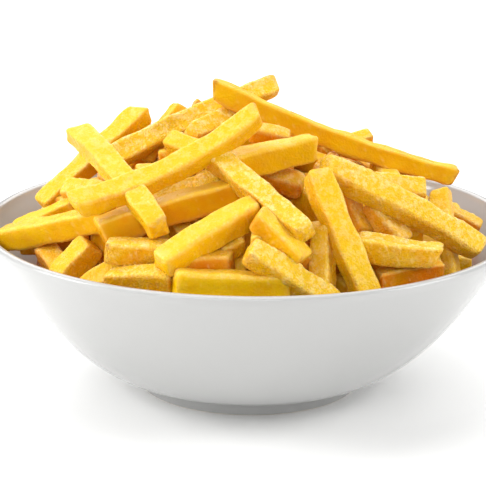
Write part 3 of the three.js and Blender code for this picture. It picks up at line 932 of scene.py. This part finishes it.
@dataclass(frozen=True)
class FriedPotato:
    """Fried potato: a thin golden crust over a moist inside that lets light through.

    The crust is yellow where thin, amber where it took more oil, paler on the dry blisters, and
    brown where it caught. It is paler along the edges as painted highlight, and more golden and
    paler where it faces up as painted top light.
    """

    pale: str = "FCE4A0"
    golden: str = "EABA00"
    amber: str = "D67600"
    brown: str = "A2560A"
    grain: float = 0.9  # mm, mealy grain of the crust
    cluster: float = 3.2  # mm, patches the grain gathers in
    cloud: float = 7.0  # mm, soft change from golden to amber
    pock: float = 0.9  # mm, tiny blisters
    relief: float = 0.38  # mm, height of grain and pocks
    roughness: float = 0.33
    film: float = 0.12  # change of the roughness where oil lies or is missing
    ior: float = 1.42
    specular: float = 0.22
    sheen: str = "FFEE9C"  # tint of the light that the oil reflects
    inside: float = 0.3  # share of the light that goes through the crust
    depth: float = 1.2  # mm that light goes under the crust
    depths: tuple[float, float, float] = (1.0, 0.5, 0.08)  # shares of it for red, green, blue

    def build(self) -> bpy.types.Material:
        """Joins colour, oil film and relief, which share the same patterns and marks.

        Returns:
            The material.
        """
        material, add, place = start_material("fried_potato_crust")
        of = {
            name: add("Attribute", {"attribute_name": name}, out="Fac")
            for name in ("tone", "browning", "blister", "edge", "mealy", "upward")
        }
        patterns = (("cloud", 2.0, 0.5), ("grain", 3.0, 0.6), ("cluster", 1.0, 0.5))
        for name, detail, rough in patterns:
            scale = 1000 / getattr(self, name)
            of[name] = add("TexNoise", inputs={
                "Vector": place, "Scale": scale, "Detail": detail, "Roughness": rough,
            })
        # oil lies in films: some places shine, some are dry
        film = add("MapRange", inputs={
            "Value": of["cloud"], "From Min": 0.35, "From Max": 0.65,
            "To Min": self.roughness - self.film, "To Max": self.roughness + self.film,
        })
        # relief: the grain, and round pocks that are highest in their middle
        pock = add("TexVoronoi", {"feature": "SMOOTH_F1"}, {
            "Vector": place, "Scale": 1000 / self.pock, "Smoothness": 0.4,
        })
        pocks = add("MapRange", inputs={
            "Value": pock, "From Max": 0.8, "To Min": 1.0, "To Max": 0.0,
        })
        relief = add("Math", TIMES_ADD, {0: of["grain"], 1: 1.2, 2: pocks})
        mealy = add("MapRange", inputs={"Value": of["mealy"], "To Min": 0.15})
        bump = add("Bump", inputs={
            "Height": add("Math", TIMES, {0: relief, 1: mealy}),
            "Strength": 1.0,
            "Distance": self.relief * MM,
        })
        shader = add("BsdfPrincipled", {"subsurface_method": "RANDOM_WALK"}, {
            "Base Color": self.colour(add, of),
            "Roughness": film,
            "IOR": self.ior,
            "Specular IOR Level": self.specular,
            "Specular Tint": linear(self.sheen),
            "Subsurface Weight": self.inside,
            "Subsurface Radius": self.depths,
            "Subsurface Scale": self.depth * MM,
            "Normal": bump,
        })
        add("OutputMaterial", inputs={"Surface": shader})
        return material

    def colour(self, add: Callable[..., Socket], of: dict[str, Socket]) -> Socket:
        """Mixes the crust's colour: golden to amber, then pale where dry, then brown. Faces that
        look up are made more golden and paler as painted top light, and the edges paler as painted
        highlight.

        Args:
            add: adds a node to the material's tree.
            of: the mesh's own marks and the patterns, by name.

        Returns:
            The colour.
        """
        # the fry's own tone, moved by soft clouds
        drift = add("MapRange", inputs={
            "Value": of["cloud"], "From Min": 0.3, "From Max": 0.7, "To Min": -0.14, "To Max": 0.14,
        })
        toned = add("Math", ADD, {0: of["tone"], 1: drift})
        # painted top light: faces that look up are shifted towards golden, lighter than the flanks
        painted_top_light_tone = add("Math", TIMES_ADD, {0: of["upward"], 1: -0.6, 2: toned})
        golden, amber = linear(self.golden), linear(self.amber)
        crust = add("Mix", RGBA, {"Factor": painted_top_light_tone, 6: golden, 7: amber}, 2)
        # dry starch: pale specks on mealy fries, on blisters and along the edges
        mixed = add("Math", ADD, {0: of["grain"], 1: of["cluster"]})
        specks = add("MapRange", SMOOTH, {
            "Value": mixed, "From Min": 0.9, "From Max": 1.22, "To Max": 0.7,
        })
        drier = add("Math", CLAMPED, {0: of["edge"], 1: 0.3, 2: of["mealy"]})
        dry = add("Math", TIMES, {0: specks, 1: drier})
        # painted top light: the pale specks show in full only on faces that look up, a fifth on the
        # others
        painted_top_light_share = add("MapRange", inputs={"Value": of["upward"], "To Min": 0.2})
        shown = add("Math", TIMES, {0: dry, 1: painted_top_light_share})
        # painted highlight: a pale line along the long edges and round the rims of the ends
        rim = add("Math", TIMES_ADD, {0: of["edge"], 1: 0.12, 2: shown})
        raised = add("Math", TIMES_ADD, {0: of["blister"], 1: 0.3, 2: rim})
        # painted top light: faces that look up turn a little paler
        paled = add("Math", CLAMPED, {0: of["upward"], 1: 0.07, 2: raised})
        pale = add("Mix", RGBA, {"Factor": paled, 6: crust, 7: linear(self.pale)}, 2)
        # browning: edges, ends and spots, broken up by the patches
        broken = add("Math", TIMES_ADD, {0: of["cluster"], 1: 0.9, 2: of["browning"]})
        browned = add("MapRange", SMOOTH, {"Value": broken, "From Min": 0.55, "From Max": 1.4})
        return add("Mix", RGBA, {"Factor": browned, 6: pale, 7: linear(self.brown)}, 2)


@dataclass(frozen=True)
class Softbox:
    """A flat rectangular studio lamp."""

    name: str
    place: tuple[float, float, float]  # its middle in metres
    size: tuple[float, float]  # its width and height in metres
    power: float  # watts
    aim: tuple[float, float, float] = (0.0, 0.0, 0.06)  # the point it faces, in metres

    def build(self) -> bpy.types.Object:
        """Adds the lamp and turns it to face its aim.

        Returns:
            The lamp's object.
        """
        lamp = bpy.data.lights.new(self.name, "AREA")
        lamp.shape = "RECTANGLE"
        lamp.size, lamp.size_y = self.size
        lamp.energy = self.power
        holder = bpy.data.objects.new(self.name, lamp)
        bpy.context.scene.collection.objects.link(holder)
        way = Vector(self.aim) - Vector(self.place)
        holder.location = self.place
        holder.rotation_euler = way.to_track_quat("-Z", "Y").to_euler()
        return holder


@dataclass
class Studio:
    """Camera, pale table, even white room and soft lamps.

    Sizes are in mm and angles in degrees. The focal length is in pixels of the image's width.
    """

    target: tuple[float, float, float] = (-2.95, 0.0, 61.77)
    distance: float = 1000.0
    elevation: float = 15.61
    roll: float = 0.51
    focal_pixels: float = 2321.8
    image_width: int = 486
    sensor: float = 36.0
    near_and_far: tuple[float, float] = (0.05, 50.0)
    table: str = "FBFBFA"
    table_half: float = 6000.0
    table_roughness: float = 0.6
    room: str = "FFFFFF"
    room_strength: float = 0.22
    lamps: tuple[Softbox, ...] = field(default_factory=lambda: (
        Softbox("top", (-0.3, 0.2, 1.8), (1.6, 1.6), 18.0),
        Softbox("left", (-1.4, -0.1, 0.8), (0.8, 0.8), 19.5),
        Softbox("right", (1.3, -0.2, 0.8), (0.8, 0.8), 14.0),
        Softbox("back", (0.0, 1.25, 1.1), (2.0, 1.0), 15.5),
        Softbox("front", (-0.3, -1.4, 0.8), (1.4, 0.7), 10.2),
    ))

    def add_camera(self) -> bpy.types.Object:
        """Adds the camera: it looks at the target from the front, rolled by a small angle.

        Returns:
            The camera's object, which the scene now uses.
        """
        tilt, roll = math.radians(self.elevation), math.radians(self.roll)
        back = Vector((0, -math.cos(tilt), math.sin(tilt)))
        level = Vector((1, 0, 0))
        upright = Vector((0, math.sin(tilt), math.cos(tilt)))
        right = level * math.cos(roll) + upright * math.sin(roll)
        up = upright * math.cos(roll) - level * math.sin(roll)
        where = (Vector(self.target) + back * self.distance) * MM
        lens = bpy.data.cameras.new("camera")
        lens.sensor_width = self.sensor
        lens.lens = self.focal_pixels / self.image_width * self.sensor
        lens.clip_start, lens.clip_end = self.near_and_far
        camera = bpy.data.objects.new("camera", lens)
        turn = Matrix((right, up, back)).transposed().to_4x4()
        camera.matrix_world = Matrix.Translation(where) @ turn
        bpy.context.scene.collection.objects.link(camera)
        bpy.context.scene.camera = camera
        return camera

    def add_table(self) -> bpy.types.Object:
        """Adds the plain pale table top, a flat square far wider than the view.

        Returns:
            The table.
        """
        corners = np.array([[-1, -1, 0], [1, -1, 0], [1, 1, 0], [-1, 1, 0]]) * self.table_half
        table = make_piece("table", corners, [[0, 1, 2, 3]], {})
        material = bpy.data.materials.new("matt_laminate")
        material.use_nodes = True
        shader = material.node_tree.nodes["Principled BSDF"]
        shader.inputs["Base Color"].default_value = linear(self.table)
        shader.inputs["Roughness"].default_value = self.table_roughness
        table.data.materials.append(material)
        return table

    def add_room(self) -> None:
        """Lights the room evenly from all around."""
        world = bpy.data.worlds.new("room")
        world.use_nodes = True
        shader = world.node_tree.nodes["Background"]
        shader.inputs["Color"].default_value = linear(self.room)
        shader.inputs["Strength"].default_value = self.room_strength
        bpy.context.scene.world = world

    def build(self) -> None:
        """Sets up camera, table, room and lamps."""
        self.add_camera()
        self.add_table()
        self.add_room()
        for lamp in self.lamps:
            lamp.build()
        bpy.context.scene.view_settings.view_transform = "Standard"


def dress(piece: bpy.types.Object, material: bpy.types.Material, node: str) -> None:
    """Gives a piece its material, hangs it on the root body and hides the CAD node it stands for.

    Args:
        piece: the object.
        material: its material.
        node: the CAD node it stands for.
    """
    piece.data.materials.append(material)
    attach(piece, "root")
    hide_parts(node)
    LOG.info("%s: %d faces", piece.name, len(piece.data.polygons))


def main() -> None:
    """Builds the bowl, the heap and the studio in order."""
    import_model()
    bowl = Bowl()
    heap = Heap(bowl)

    porcelain = GlazedPorcelain().build()
    potato = FriedPotato().build()
    dress(bowl.build(), porcelain, "bowl")

    laid = [*CROWN_FRIES, *LEFT_FRIES, *FRONT_FRIES, *RIGHT_FRIES]
    stacked = heap.stack(SIDE_STACK, laid)
    LOG.info("%d stacked fries", len(stacked))
    bed = heap.stack(DEEP_STACK, laid + stacked)
    bed += heap.stack(SHORT_STACK, laid + stacked + bed)
    LOG.info("%d bed fries", len(bed))
    batches = (
        FryBatch("fries_crown", CROWN_FRIES, bowl, seed=1),
        FryBatch("fries_left", LEFT_FRIES, bowl, seed=2),
        FryBatch("fries_front", FRONT_FRIES, bowl, seed=3),
        FryBatch("fries_right", RIGHT_FRIES, bowl, seed=4),
        FryBatch("fries_side", stacked, bowl, rings=64, quarter=8, seed=5),
        FryBatch("fries_bed", bed, bowl, rings=34, quarter=5, seed=6),
    )
    for batch in batches:
        dress(batch.build(), potato, "fries_heap")
    dress(Core(heap).build(), potato, "fries_heap")

    Studio().build()


if __name__ == "__main__":
    logging.basicConfig(level=logging.INFO, format="%(message)s")
    main()
